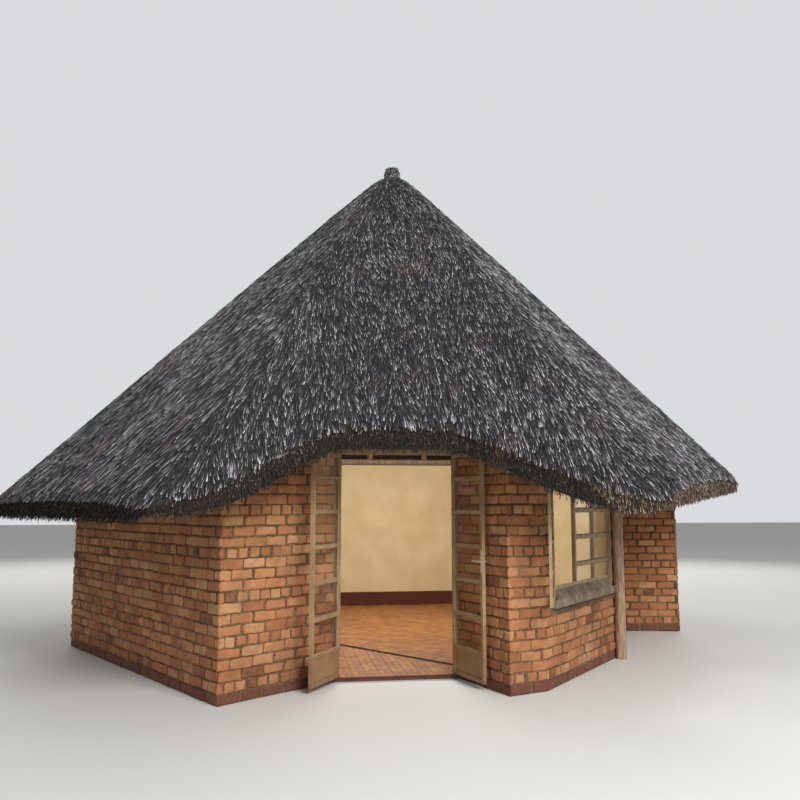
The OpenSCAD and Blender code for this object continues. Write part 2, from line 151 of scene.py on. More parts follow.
# %% Finishes with one noise
def make_clouded(name, roughness, scale, detail, grit, stops, relief=0, depth=0, z_scale=1, metallic=0):
    material, tree, shader, coords = new_material(name, roughness)
    spot = add(tree, "ShaderNodeMapping", {"Vector": coords, "Scale": (1, 1, z_scale)})
    cloud = add(tree, "ShaderNodeTexNoise", {
        "Vector": spot, "Scale": scale, "Detail": detail, "Roughness": grit})
    feed(shader, {"Base Color": add(tree, "ShaderNodeValToRGB", [cloud], stops), "Metallic": metallic})
    if relief:
        bump = add(tree, "ShaderNodeBump", {"Height": cloud, "Strength": relief, "Distance": depth})
        feed(shader, {"Normal": bump})
    return material


# %% [markdown]
# The bricks are hand-made and fired in a clamp, so they run from pale straw over salmon to a dark,
# over-fired red. Geometry carries the shape of each brick, and an attribute that is stored with it
# says how hard it was fired. The material turns that number into a colour and adds clouds from 80 mm
# down to grit, soft stains, and the reddish dust that rain splashes up from the ground.


# %% Fired clay brick
def make_brick_material():
    material, tree, shader, coords = new_material("fired_clay_brick", 0.9)
    fired = add(tree, "ShaderNodeAttribute", attribute_name="fired").outputs["Fac"]
    band = add(tree, "ShaderNodeAttribute", attribute_name="band").outputs["Fac"]
    grain, cloud, pits = (
        add(tree, "ShaderNodeTexNoise", {
            "Vector": coords, "Scale": scale, "Detail": detail, "Roughness": grit})
        for scale, detail, grit in ((12.0, 8.0, 0.75), (3.1, 5.0, 0.62), (70.0, 5.0, 0.7)))
    shift = add(tree, "ShaderNodeMath", (grain, 1.0, -0.5), operation="MULTIPLY_ADD")
    tone = add(tree, "ShaderNodeMath", (fired, shift), operation="ADD", use_clamp=True)
    colour = add(tree, "ShaderNodeValToRGB", [tone], (
        (0.0, "#66412c"), (0.22, "#99623e"), (0.45, "#ab6f46"), (0.63, "#b37b50"), (0.82, "#bc895d"),
        (1.0, "#c89f76")))
    stain = add(tree, "ShaderNodeMapRange", (cloud, 0.46, 0.72, 0.0, 0.45))
    height = add(tree, "ShaderNodeSeparateXYZ", [coords]).outputs["Z"]
    splash = add(tree, "ShaderNodeMapRange", (height, 0.05, 0.5, 0.5, 0.0))
    dust = add(tree, "ShaderNodeMath", (splash, cloud), operation="MULTIPLY")
    oxide = add(tree, "ShaderNodeMath", (band, 0.8), operation="MULTIPLY")
    for share, over in ((stain, "#5d4029"), (dust, "#7d4b39"), (oxide, "#5b3129")):
        colour = add(tree, "ShaderNodeMix", {0: share, 6: colour, 7: linear(over)}, data_type="RGBA")
    bump = add(tree, "ShaderNodeBump", {"Height": pits, "Strength": 0.8, "Distance": 0.006})
    feed(shader, {"Base Color": colour, "Normal": bump})
    return material


brick_paint = make_brick_material()
print("finish:", brick_paint.name)

# %% [markdown]
# Mortar is sand and cement. It is raked back behind the bricks and has gone brown with dust. Plaster
# inside is a cream wash with a dark red skirting line painted along the floor. The window sill is
# trowelled cement with soft stains, and the doorway's step is cement under red oxide polish.

# %% Mortar, plaster, cement and step polish
SKIRTING_TOP = 0.245


def make_mortar():
    material, tree, shader, coords = new_material("raked_cement_mortar", 0.95)
    sand, patch = (add(tree, "ShaderNodeTexNoise", {"Vector": coords, "Scale": scale, "Detail": detail})
                   for scale, detail in ((55.0, 5.0), (2.6, 3.0)))
    tone = add(tree, "ShaderNodeMath", (sand, patch), operation="MULTIPLY")
    colour = add(tree, "ShaderNodeValToRGB", [tone], (
        (0.12, "#42321f"), (0.24, "#654c34"), (0.38, "#8b6b4c")))
    bump = add(tree, "ShaderNodeBump", {"Height": sand, "Strength": 0.7, "Distance": 0.008})
    feed(shader, {"Base Color": colour, "Normal": bump})
    return material


def make_plaster():
    material, tree, shader, coords = new_material("cream_lime_plaster", 0.85)
    height = add(tree, "ShaderNodeSeparateXYZ", [coords]).outputs["Z"]
    low = add(tree, "ShaderNodeMath", (height, SKIRTING_TOP), operation="LESS_THAN")
    cloud = add(tree, "ShaderNodeTexNoise", {"Vector": coords, "Scale": 3.0, "Detail": 5.0})
    wash = add(tree, "ShaderNodeValToRGB", [cloud], ((0.3, "#d6be8c"), (0.7, "#e6d2a4")))
    both = add(tree, "ShaderNodeMix", {0: low, 6: wash, 7: linear("#5a2a1c")}, data_type="RGBA")
    bump = add(tree, "ShaderNodeBump", {"Height": cloud, "Strength": 0.3, "Distance": 0.01})
    feed(shader, {"Base Color": both, "Normal": bump})
    return material


mortar = make_mortar()
plaster = make_plaster()
cement = make_clouded("trowelled_cement", 0.8, 7.0, 7.0, 0.65, (
    (0.28, "#5c4c3b"), (0.5, "#83725d"), (0.74, "#a3937b")), 0.35, 0.005)
step_polish = make_clouded("red_oxide_step_polish", 0.45, 7.0, 7.0, 0.65, (
    (0.3, "#4c241b"), (0.7, "#6e3a2b")), 0.35, 0.005)
print("finishes:", *(finish.name for finish in (mortar, plaster, cement, step_polish)))

# %% [markdown]
# Thatch is dry grass that has stood in the sun. The outer straw bleaches to a cool grey, what lies
# deeper is nearly black, and a few fresh bundles still show a reddish brown. Each straw carries a
# number for its bleaching, with painted shade near the eave taken off, and another for how fresh it
# is. A third runs from its root to its tip: it darkens the root as painted shade, where the next course
# would shade it, and lightens the tip a little as painted light. Under the bed and at its cut edge the
# sun never reached the straw, so there it stays brown, and the cut edge is darkened further as painted
# shade.


# %% Weathered grass thatch
def make_straw(name, stops, new_colour):
    material, tree, shader, _ = new_material(name, 0.8)
    whole, tip, fresh = (add(tree, "ShaderNodeAttribute", attribute_name=attribute).outputs["Fac"]
                         for attribute in ("bleached", "tip", "fresh"))
    # Painted shade at the root, which the next course would shade, and painted light at the tip.
    root_shade_tip_light = add(tree, "ShaderNodeMapRange", (tip, 0.0, 1.0, 0.5, 1.1))
    bleached = add(tree, "ShaderNodeMath", (whole, root_shade_tip_light), operation="MULTIPLY", use_clamp=True)
    grey = add(tree, "ShaderNodeValToRGB", [bleached], stops)
    colour = add(tree, "ShaderNodeMix", {0: fresh, 6: grey, 7: linear(new_colour)}, data_type="RGBA")
    feed(shader, {"Base Color": colour})
    return material


def along_straw(tree, spot, normal, wide, long):
    """A place across its slope and up it, each scaled by its own factor."""
    level = add(tree, "ShaderNodeVectorMath", (normal, (0, 0, 1)), operation="CROSS_PRODUCT")
    across = add(tree, "ShaderNodeVectorMath", [level], operation="NORMALIZE")
    side = add(tree, "ShaderNodeVectorMath", (spot, across), operation="DOT_PRODUCT")
    height = add(tree, "ShaderNodeSeparateXYZ", [spot]).outputs["Z"]
    return add(tree, "ShaderNodeCombineXYZ", (
        add(tree, "ShaderNodeMath", (side, wide), operation="MULTIPLY"),
        add(tree, "ShaderNodeMath", (height, long), operation="MULTIPLY")))


def make_thatch_bed():
    material, tree, shader, coords = new_material("packed_thatch_bed", 0.95)
    normal = add(tree, "ShaderNodeNewGeometry").outputs["True Normal"]
    strands = add(tree, "ShaderNodeTexNoise", {
        "Vector": along_straw(tree, coords, normal, 60.0, 18.0), "Scale": 1.0, "Detail": 3.0,
        "Roughness": 0.6})
    top, under = (add(tree, "ShaderNodeValToRGB", [strands], stops) for stops in (
        ((0.34, "#0b0b0c"), (0.5, "#1d1c1f"), (0.68, "#4a484c")),
        ((0.3, "#140f0a"), (0.5, "#2c2117"), (0.75, "#51402c"))))
    facing = add(tree, "ShaderNodeSeparateXYZ", [normal]).outputs["Z"]
    below = add(tree, "ShaderNodeMath", (facing, 0.3), operation="LESS_THAN")
    colour = add(tree, "ShaderNodeMix", {0: below, 6: top, 7: under}, data_type="RGBA")
    bump = add(tree, "ShaderNodeBump", {"Height": strands, "Strength": 0.9, "Distance": 0.02})
    feed(shader, {"Base Color": colour, "Normal": bump})
    return material


straw = make_straw("weathered_grass_straw", (
    (0.0, "#0f0e10"), (0.25, "#2d2b2e"), (0.5, "#5b585c"), (0.75, "#918e92"), (1.0, "#c4c1c4")), "#6e5047")
# The cut ends over the door are darkened to near black as painted shade; those over the porch are lighter.
edge_straw_in_painted_shade = make_straw("cut_straw_ends_in_painted_shade", (
    (0.0, "#0e0a07"), (0.35, "#231a12"), (0.7, "#403428"), (1.0, "#77706a")), "#5c3b2d")
porch_straw = make_straw("shaded_straw_ends", (
    (0.0, "#2a1f17"), (0.35, "#584639"), (0.7, "#826c5c"), (1.0, "#a3978b")), "#7a5440")
thatch_bed = make_thatch_bed()
print("finishes:", *(finish.name for finish in (straw, edge_straw_in_painted_shade, porch_straw, thatch_bed)))

# %% [markdown]
# The doors and the window are rolled steel sections under a cream oil paint that has dulled, with dust
# and a little rust low down. The handle is chromed. The poles are gum wood, stained dark. The floor is
# laid in waxed clay tiles, which shine where people walk.


# %% Steel paint, glass and tile
def make_steel_paint():
    material, tree, shader, coords = new_material("cream_oil_paint_on_steel", 0.45)
    cloud, speck = (
        add(tree, "ShaderNodeTexNoise", {
            "Vector": coords, "Scale": scale, "Detail": detail, "Roughness": grit})
        for scale, detail, grit in ((6.0, 7.0, 0.62), (28.0, 6.0, 0.7)))
    colour = add(tree, "ShaderNodeValToRGB", [cloud], (
        (0.3, "#8c7252"), (0.5, "#9e8260"), (0.72, "#b09670")))
    height = add(tree, "ShaderNodeSeparateXYZ", [coords]).outputs["Z"]
    low = add(tree, "ShaderNodeMapRange", (height, 0.05, 0.16, 0.85, 0.0))
    rust = add(tree, "ShaderNodeMath", (speck, low), operation="MULTIPLY")
    worn = add(tree, "ShaderNodeMapRange", (rust, 0.26, 0.5, 0.0, 0.8))
    near_floor = add(tree, "ShaderNodeMapRange", (height, 0.25, 0.42, 0.55, 0.0))
    for share, over in ((near_floor, "#7e5433"), (worn, "#5e3b22")):
        colour = add(tree, "ShaderNodeMix", {0: share, 6: colour, 7: linear(over)}, data_type="RGBA")
    bump = add(tree, "ShaderNodeBump", {"Height": speck, "Strength": 0.15, "Distance": 0.002})
    feed(shader, {"Base Color": colour, "Normal": bump})
    return material


def make_glass():
    material, _, shader, _ = new_material("clear_window_glass", 0.03)
    feed(shader, {"Base Color": linear("#f2f6f5"), "Transmission Weight": 1.0, "IOR": 1.5, "Alpha": 0.12})
    return material


def make_tile(name, roughness, stops, specular=0.5):
    material, tree, shader, coords = new_material(name, roughness)
    fired = add(tree, "ShaderNodeAttribute", attribute_name="fired").outputs["Fac"]
    cloud = add(tree, "ShaderNodeTexNoise", {"Vector": coords, "Scale": 30.0, "Detail": 5.0})
    tone = add(tree, "ShaderNodeMath", (cloud, 0.3, fired), operation="MULTIPLY_ADD")
    scaled = add(tree, "ShaderNodeMath", (tone, 0.7), operation="MULTIPLY")
    colour = add(tree, "ShaderNodeValToRGB", [scaled], stops)
    bump = add(tree, "ShaderNodeBump", {"Height": cloud, "Strength": 0.2, "Distance": 0.003})
    feed(shader, {"Base Color": colour, "Normal": bump, "Specular IOR Level": specular})
    return material


steel_paint = make_steel_paint()
putty = make_clouded("painted_linseed_putty", 0.6, 20.0, 4.0, 0.5, ((0.3, "#7d664a"), (0.7, "#a2896a")))
chrome = make_clouded("worn_chrome", 0.4, 120.0, 3.0, 0.5, ((0.3, "#c6c3bd"), (0.6, "#ecebe7")), metallic=1)
glass = make_glass()
pole_wood = make_clouded("stained_gum_pole", 0.7, 45.0, 5.0, 0.65, (
    (0.3, "#735943"), (0.5, "#a08268"), (0.7, "#c6a88c")), 0.7, 0.008, z_scale=0.12)
clay_tile = make_tile("waxed_clay_tile", 0.5, ((0.15, "#6f4123"), (0.5, "#9c6334"), (0.9, "#bf8748")))
dark_tile = make_tile("dark_clay_tile", 0.8, ((0.0, "#1e0f09"), (0.3, "#351b12")), specular=0.15)
print("finishes:", *(finish.name for finish in (steel_paint, putty, chrome, glass, pole_wood, clay_tile,
                                                dark_tile)))

# %% [markdown]
# The solid model's walls stay in place. Their outer faces become the mortar behind the bricks, and
# their inner faces the plaster. The plan is a hexagon with a splayed doorway and a porch cut into it,
# so the same few sizes as in the solid model give every wall's line.

# %% Plan of the walls
WALL_CORNER_R = 3.66
WALL_T = 0.23
FRONT = WALL_CORNER_R * math.cos(math.radians(30))
FLOOR_H = 0.045
DOOR_Y = -FRONT + 0.783
DOOR_X, DOOR_W = -0.287, 1.175
DOOR_TOP = 2.095
PIER_X, PIER_W, PIER_TURN = 0.556, 0.4, 22
WINDOW_TURN, WINDOW_L = 49.3, 2.1
WINDOW_FROM, WINDOW_TO = 0.13, 1.8
SILL_BOTTOM, WINDOW_TOP = 0.68, 1.8
WALL_H = 2.2
PORCH_TURN = 67


def along(degrees):
    return Vector((math.cos(math.radians(degrees)), math.sin(math.radians(degrees))))


def corner(k):
    return WALL_CORNER_R * along(60 * k)


def left_of(way):
    return Vector((-way.y, way.x))


door_left = Vector((DOOR_X - DOOR_W / 2, DOOR_Y))
door_right = Vector((DOOR_X + DOOR_W / 2, DOOR_Y))
pier_left = Vector((PIER_X, -FRONT))
pier_right = pier_left + PIER_W * along(PIER_TURN)
porch_corner = pier_right + WINDOW_L * along(WINDOW_TURN)
porch_l = (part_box("porch_side_wall")[1].x - porch_corner.x) / along(PORCH_TURN).x
porch_back = porch_corner + porch_l * along(PORCH_TURN)
print("porch side wall, metres:", round(porch_l, 3))

# %% [markdown]
# The roof falls from one apex on six faces. A level wall ends at the top of its solid piece. A raised
# wall follows the rafters, so its height at any point comes from the roof's own planes.

# %% Heights under the roof
FALL = 1.06
ROOF_FACES = [(30, 1.0), (90, FALL), (150, FALL), (210, FALL), (270, FALL), (321.7, 1.104)]
RAFTER_D, PLATE_R, ROOF_GAP = 0.09, 0.05, 0.003
UNDER_APEX = WALL_H + PLATE_R + FALL * (FRONT - WALL_T / 2) + (RAFTER_D + PLATE_R) * math.hypot(1, FALL)


def raised_top(p):
    return min(UNDER_APEX - (RAFTER_D + ROOF_GAP) * math.hypot(1, fall) - fall * p.dot(along(facing))
               for facing, fall in ROOF_FACES)


def level_top(wall):
    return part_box(wall)[1].z


print("underside of the roof at its apex, metres:", round(UNDER_APEX, 3))

# %% [markdown]
# Each outer wall face is one row: the piece of wall, where its line starts and ends in plan, how far
# along that line the face runs, and its bottom and its top. No top means that it follows the roof.

# %% List of the brick faces
brick_faces = [
    ("left_wall", corner(3), corner(4), None, 0, level_top("left_wall")),
    ("rear_left_wall", corner(2), corner(3), None, 0, level_top("rear_left_wall")),
    ("rear_wall", corner(1), corner(2), None, 0, level_top("rear_wall")),
    ("right_wall", corner(0), corner(1), None, 0, level_top("right_wall")),
    ("entrance_left_wall", corner(4), door_left, None, 0, None),
    ("door_head_wall", door_left, door_right, None, DOOR_TOP, None),
    ("entrance_right_wall", door_right, pier_left, None, 0, None),
    ("front_pier", pier_left, pier_right, None, 0, None),
    ("window_wall_left", pier_right, porch_corner, (0, WINDOW_FROM), 0, None),
    ("window_wall_below", pier_right, porch_corner, (WINDOW_FROM, WINDOW_TO), 0, SILL_BOTTOM),
    ("window_wall_above", pier_right, porch_corner, (WINDOW_FROM, WINDOW_TO), WINDOW_TOP, None),
    ("window_wall_right", pier_right, porch_corner, (WINDOW_TO, WINDOW_L), 0, None),
    ("porch_side_wall", porch_corner, porch_back, None, 0, None),
    ("porch_end_wall", porch_back, corner(0), None, 0, None),
]


def frame_of(start, end):
    """The way along a face in plan, and the way out of it."""
    direction = (end - start).normalized()
    return direction, Vector((direction.y, -direction.x))


for name, start, end, *_ in brick_faces:
    outward = frame_of(start, end)[1]
    wall = cad[name].data
    wall.materials.clear()
    wall.materials.append(mortar)
    wall.materials.append(plaster)
    for face in wall.polygons:
        outside = face.normal.to_2d().dot(outward) > 0.9
        level = abs(face.normal.z) > 0.5
        face.material_index = 0 if outside or level else 1
print("brick faces:", len(brick_faces))

# %% [markdown]
# A real brick has edges knocked off by hand and by frost. Eight slightly different bricks are enough:
# the eye doesn't find the repeat once they are turned, cut and fired differently. Each is a grid of a
# few faces with its rim pressed back and some corners broken off, and its sides run into the mortar.

# %% Eight bricks to lay
BRICK_L, BRICK_H, JOINT = 0.217, 0.075, 0.013
BRICK_OUT, BRICK_IN = 0.009, 0.012
RIM, PRESSED = 0.01, 0.0062
CHIP_FROM, CHIP_TO, CHIPPED_SHARE = 0.007, 0.019, 0.5
BRICK_SHAPES = 8
rng = random.Random(7)


def make_brick(index, rough):
    bm = bmesh.new()
    half_l, half_h = BRICK_L / 2, BRICK_H / 2
    xs = [-half_l, -half_l + RIM, -half_l / 3, half_l / 3, half_l - RIM, half_l]
    zs = [-half_h, -half_h + RIM, half_h - RIM, half_h]
    grid = []
    for i, x in enumerate(xs):
        column = []
        for j, z in enumerate(zs):
            at_end, at_side = i in (0, 5), j in (0, 3)
            depth = -BRICK_OUT + (PRESSED if at_end or at_side else 0) + rng.uniform(-1, 1) * rough
            spot = Vector((x + rng.uniform(-1, 1) * rough, depth, z + rng.uniform(-1, 1) * rough))
            if at_end and at_side and rng.random() < CHIPPED_SHARE:
                chip = rng.uniform(CHIP_FROM, CHIP_TO)
                spot += Vector((-math.copysign(chip, x), 0.5 * chip, -math.copysign(0.6 * chip, z)))
            column.append(bm.verts.new(spot))
        grid.append(column)
    for i in range(5):
        for j in range(3):
            bm.faces.new((grid[i][j], grid[i + 1][j], grid[i + 1][j + 1], grid[i][j + 1]))
    loop = [grid[i][0] for i in range(6)] + [grid[5][j] for j in (1, 2, 3)]
    loop += [grid[i][3] for i in range(4, -1, -1)] + [grid[0][j] for j in (2, 1)]
    back = [bm.verts.new((v.co.x, BRICK_IN, v.co.z)) for v in loop]
    for i in range(len(loop)):
        k = (i + 1) % len(loop)
        bm.faces.new((loop[k], loop[i], back[i], back[k]))
    name = f"brick_shape_{index}"
    return bpy.data.objects.new(name, mesh_of(bm, name))


HAND_ROUGH = 0.0042
brick_shapes = bpy.data.collections.new("brick_shapes")
for index in range(BRICK_SHAPES):
    brick_shapes.objects.link(make_brick(index, HAND_ROUGH))
BRICK_FACES = len(brick_shapes.objects[0].data.polygons)
print("faces of one brick:", BRICK_FACES)

# %% [markdown]
# Each tree that repeats something starts and ends the same way: its sizes and materials are named inputs,
# and one geometry comes out, in its material. Random draws and sums stand in tables, and what they give
# is kept by name, so that a later sum can use it.


# %% What the geometry trees share
def new_tree(name, sockets):
    tree = bpy.data.node_groups.new(name, "GeometryNodeTree")
    for kind, names in sockets.items():
        for socket in names:
            tree.interface.new_socket(socket, in_out="INPUT", socket_type=f"NodeSocket{kind}")
    tree.interface.new_socket("Geometry", in_out="OUTPUT", socket_type="NodeSocketGeometry")
    return tree, dict(add(tree, "NodeGroupInput").outputs.items())


def draw(tree, known, seed_step, ranges):
    """One random draw for each name, from its lowest to its highest value."""
    for order, (name, low, high) in enumerate(ranges):
        seed = add(tree, "ShaderNodeMath", (known["Seed"], seed_step * order), operation="ADD")
        known[name] = add(tree, "FunctionNodeRandomValue", {2: low, 3: high, "Seed": seed})


def work_out(tree, known, sums):
    for name, operation, *terms in sums:
        values = [term if isinstance(term, float) else known[term] for term in terms]
        known[name] = add(tree, "ShaderNodeMath", values, operation=operation)


def end_tree(tree, known, geometry):
    done = add(tree, "GeometryNodeSetMaterial", {"Geometry": geometry, "Material": known["Material"]})
    add(tree, "NodeGroupOutput", {"Geometry": done})
    return tree


# %% [markdown]
# The bond is three courses of stretchers and one of headers. A geometry tree lays it: it counts the
# places, works out where each brick starts and ends, cuts the ones that pass the wall's end, drops what
# is too short or too high, and sets a brick on each point that is left. Its sums stand in a table, one
# line each, and a loop adds them to the tree.


# %% Sums of the bond
GRID_SUMS = (
    ("mid index", "ADD", "index", 0.5),
    ("row and part", "DIVIDE", "mid index", "columns"),
    ("row", "FLOOR", "row and part"),
    ("before row", "MULTIPLY", "row", "columns"),
    ("column", "SUBTRACT", "index", "before row"),
)
COURSE_WAVE, SHORTEST_BRICK, OVERFIRED_SHARE = 0.024, 0.028, 0.05
BOND_SUMS = (
    ("course", "ADD", "Brick height", "Joint"),
    ("pitch", "ADD", "Brick length", "Joint"),
    ("half pitch", "MULTIPLY", "pitch", 0.5),
    ("across", "DIVIDE", "End", "half pitch"),
    ("whole across", "CEIL", "across"),
    ("columns", "ADD", "whole across", 2.0),
    ("highest", "MAXIMUM", "Top at start", "Top at end"),
    ("up", "DIVIDE", "highest", "course"),
    ("rows", "CEIL", "up"),
    ("total", "MULTIPLY", "rows", "columns"),
    *GRID_SUMS,
    ("of four", "MODULO", "row", 4.0),
    ("header", "COMPARE", "of four", 1.0, 0.1),
    ("shorter", "MULTIPLY", "header", "half pitch"),
    ("own pitch", "SUBTRACT", "pitch", "shorter"),
    ("odd", "MODULO", "row", 2.0),
    ("half odd", "MULTIPLY", "odd", 0.5),
    ("offset", "MULTIPLY", "own pitch", "half odd"),
    ("even begin", "MULTIPLY_ADD", "column", "own pitch", "wander"),
    ("begin", "SUBTRACT", "even begin", "offset"),
    ("next", "ADD", "begin", "own pitch"),
    ("gap", "ADD", "Joint", "wider"),
    ("stop", "SUBTRACT", "next", "gap"),
    ("cut begin", "MAXIMUM", "begin", "Start"),
    ("cut stop", "MINIMUM", "stop", "End"),
    ("length", "SUBTRACT", "cut stop", "cut begin"),
    ("both ends", "ADD", "cut begin", "cut stop"),
    ("middle", "MULTIPLY", "both ends", 0.5),
    ("row middle", "ADD", "row", 0.5),
    ("level", "MULTIPLY", "row middle", "course"),
    ("band", "LESS_THAN", "row", 0.5),
)
FIT_SUMS = (
    ("wave", "SUBTRACT", "sag", 0.5),
    ("wavy", "MULTIPLY_ADD", "wave", COURSE_WAVE, "level"),
    ("from start", "SUBTRACT", "middle", "Start"),
    ("run", "SUBTRACT", "End", "Start"),
    ("share", "DIVIDE", "from start", "run"),
    ("rise", "SUBTRACT", "Top at end", "Top at start"),
    ("limit", "MULTIPLY_ADD", "share", "rise", "Top at start"),
    ("reach", "MULTIPLY", "course", 0.35),
    ("brick top", "ADD", "level", "reach"),
    ("brick foot", "SUBTRACT", "level", "reach"),
    ("too high", "GREATER_THAN", "brick top", "limit"),
    ("too low", "LESS_THAN", "brick foot", "Bottom"),
    ("too short", "LESS_THAN", "length", SHORTEST_BRICK),
    ("bad", "ADD", "too high", "too low"),
    ("drop", "ADD", "bad", "too short"),
    ("overfired", "LESS_THAN", "rare", OVERFIRED_SHARE),
    ("darker", "MULTIPLY_ADD", "overfired", -0.75, 1.0),
    ("fired", "MULTIPLY", "hard", "darker"),
    ("pick seed", "ADD", "Seed", 61.0),
)
print("sums in the bond:", len(BOND_SUMS) + len(FIT_SUMS))


# %% Tree that lays the courses
def make_courses_tree():
    tree, known = new_tree("lay_brick_courses", {
        "Float": ("Start", "End", "Bottom", "Top at start", "Top at end", "Brick length", "Brick height",
                  "Joint"),
        "Int": ("Seed",), "Collection": ("Bricks",), "Material": ("Material",)})
    known["index"] = add(tree, "GeometryNodeInputIndex")
    draw(tree, known, 7.0, (
        ("wander", -0.009, 0.009), ("wider", 0.0, 0.011), ("stand", -0.005, 0.004), ("thin", 0.9, 1.06),
        ("hard", 0.3, 0.85), ("rare", 0.0, 1.0)))
    work_out(tree, known, BOND_SUMS)
    spot = add(tree, "ShaderNodeCombineXYZ", (known["middle"], known["Seed"], known["level"]))
    known["sag"] = add(tree, "ShaderNodeTexNoise", {"Vector": spot, "Scale": 1.6, "Detail": 2.0})
    work_out(tree, known, FIT_SUMS)

    place = add(tree, "ShaderNodeCombineXYZ", (known["middle"], known["stand"], known["wavy"]))
    points = add(tree, "GeometryNodePoints", {"Count": known["total"], "Position": place})
    for name in ("length", "band", "drop", "fired", "thin"):
        points = add(tree, "GeometryNodeStoreNamedAttribute", {
            "Geometry": points, "Name": name, "Value": known[name]})
    own = {name: add(tree, "GeometryNodeInputNamedAttribute", {"Name": name})
           for name in ("length", "drop", "thin")}
    dropped = add(tree, "ShaderNodeMath", (own["drop"], 0.5), operation="GREATER_THAN")
    kept = add(tree, "GeometryNodeDeleteGeometry", {"Geometry": points, "Selection": dropped})
    shapes = add(tree, "GeometryNodeCollectionInfo", {
        "Collection": known["Bricks"], "Separate Children": True, "Reset Children": True})
    stretch = add(tree, "ShaderNodeMath", (own["length"], known["Brick length"]), operation="DIVIDE")
    pick = add(tree, "FunctionNodeRandomValue", {4: 0, 5: BRICK_SHAPES - 1, "Seed": known["pick seed"]},
               data_type="INT")
    tilt = add(tree, "FunctionNodeRandomValue", {
        0: (-0.025, -0.014, -0.025), 1: (0.025, 0.014, 0.025), "Seed": known["Seed"]},
        data_type="FLOAT_VECTOR")
    scale = add(tree, "ShaderNodeCombineXYZ", (stretch, 1.0, own["thin"]))
    laid = add(tree, "GeometryNodeInstanceOnPoints", {
        "Points": kept, "Instance": shapes, "Pick Instance": True, "Instance Index": pick, "Rotation": tilt,
        "Scale": scale})
    whole = add(tree, "GeometryNodeRealizeInstances", {"Geometry": laid})
    return end_tree(tree, known, whole)


def grow(name, tree, values, base=None):
    """A plain mesh of what the tree makes with these values, on an object at the origin."""
    holder = put_in_scene(name + "_maker", base or bpy.data.meshes.new(name + "_maker"))
    maker = holder.modifiers.new("maker", "NODES")
    maker.node_group = tree
    for socket in tree.interface.items_tree:
        if socket.item_type == "SOCKET" and socket.in_out == "INPUT" and socket.name in values:
            maker[socket.identifier] = values[socket.name]
    bpy.context.view_layer.update()
    result = holder.evaluated_get(bpy.context.evaluated_depsgraph_get())
    mesh = bpy.data.meshes.new_from_object(result)
    bpy.data.objects.remove(holder)
    mesh.name = name
    return put_in_scene(name, mesh)


courses = make_courses_tree()
print("nodes in the tree of courses:", len(courses.nodes))

# %% [markdown]
# The tree works along one straight line, with X along the wall, so each face's bricks are laid there and
# then turned onto their wall. At a corner the rows run on by the bricks' own depth.

# %% Lay the bricks of every face
NEAR = 0.001


def past_corner(before, after):
    """How far a row runs on past a corner, so that the proud faces of both walls meet there."""
    return BRICK_OUT * min(1, before.cross(after) / (1 + before.dot(after)))


def turned_to(along_x, along_y, origin):
    """Turns a mesh that was made flat on X and Y onto these two ways in plan."""
    return Matrix(((along_x.x, along_y.x, 0, origin.x), (along_x.y, along_y.y, 0, origin.y),
                   (0, 0, 1, 0), (0, 0, 0, 1)))


headings = [(start, end, frame_of(start, end)[0]) for _, start, end, *_ in brick_faces]
brick_count = 0
for order, (name, start, end, run, low, top) in enumerate(brick_faces):
    direction, outward = frame_of(start, end)
    first, last = run or (0, (end - start).length)
    into = [way for a, b, way in headings if first == 0 and (b - start).length < NEAR]
    out_of = [way for a, b, way in headings if (a - start - direction * last).length < NEAR]
    early = max([past_corner(way, direction) for way in into] + [0])
    late = max([past_corner(direction, way) for way in out_of] + [0])
    tops = [top if top else raised_top(start + direction * s) for s in (first, last)]
    laid = grow(f"bricks_{name}", courses, {
        "Start": first - early, "End": last + late, "Bottom": low, "Top at start": tops[0],
        "Top at end": tops[1], "Brick length": BRICK_L, "Brick height": BRICK_H, "Joint": JOINT,
        "Seed": order * 101, "Bricks": brick_shapes, "Material": brick_paint})
    laid.data.transform(turned_to(direction, -outward, start))
    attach(laid, "building")
    brick_count += len(laid.data.polygons) // BRICK_FACES
print("bricks laid:", brick_count)

# %% [markdown]
# Inside, the floor is small waxed clay tiles, laid in pairs, each pair turned across the next, which
# gives a basket weave. A slanting line of dark tiles crosses it, and the weave behind the line is
# turned to it. One tree lays both parts: it sets a square grid of places, drops those that miss the
# floor's outline by looking straight down, and puts a pair of tiles on each. A tiler cuts the tiles at
# the line, so a plane cuts both parts there, just under the rim of the dark strip. The joints are
# drawn a little wider than real ones, so that the weave shows from the camera.

# %% Outlines of the two floors
LINE_FROM, LINE_TO = Vector((-0.67, -0.68)), Vector((0.23, -1.87))
LINE_W = 0.08
TILE_T, TILE_GAP, TILE_RIM, TILE_SUNK = 0.004, 0.0045, 0.0035, 0.002
TILE_W, STRIP_L, STRIP_LAP = 0.062, 0.2, 0.004
EDGE, SPARE, SILL_EDGE = 0.05, 0.1, 0.03


def cut_outline(outline, point, normal):
    """The part of a convex outline that lies on the side that the normal points to."""
    kept = []
    for a, b in zip(outline, outline[1:] + outline[:1]):
        da, db = (a - point).dot(normal), (b - point).dot(normal)
        if da >= 0:
            kept.append(a)
        if da * db < 0:
            kept.append(a.lerp(b, da / (da - db)))
    return kept


def flat_mesh(name, outlines):
    bm = bmesh.new()
    for outline in outlines:
        bm.faces.new([bm.verts.new((p.x, p.y, FLOOR_H)) for p in outline])
    return mesh_of(bm, name)


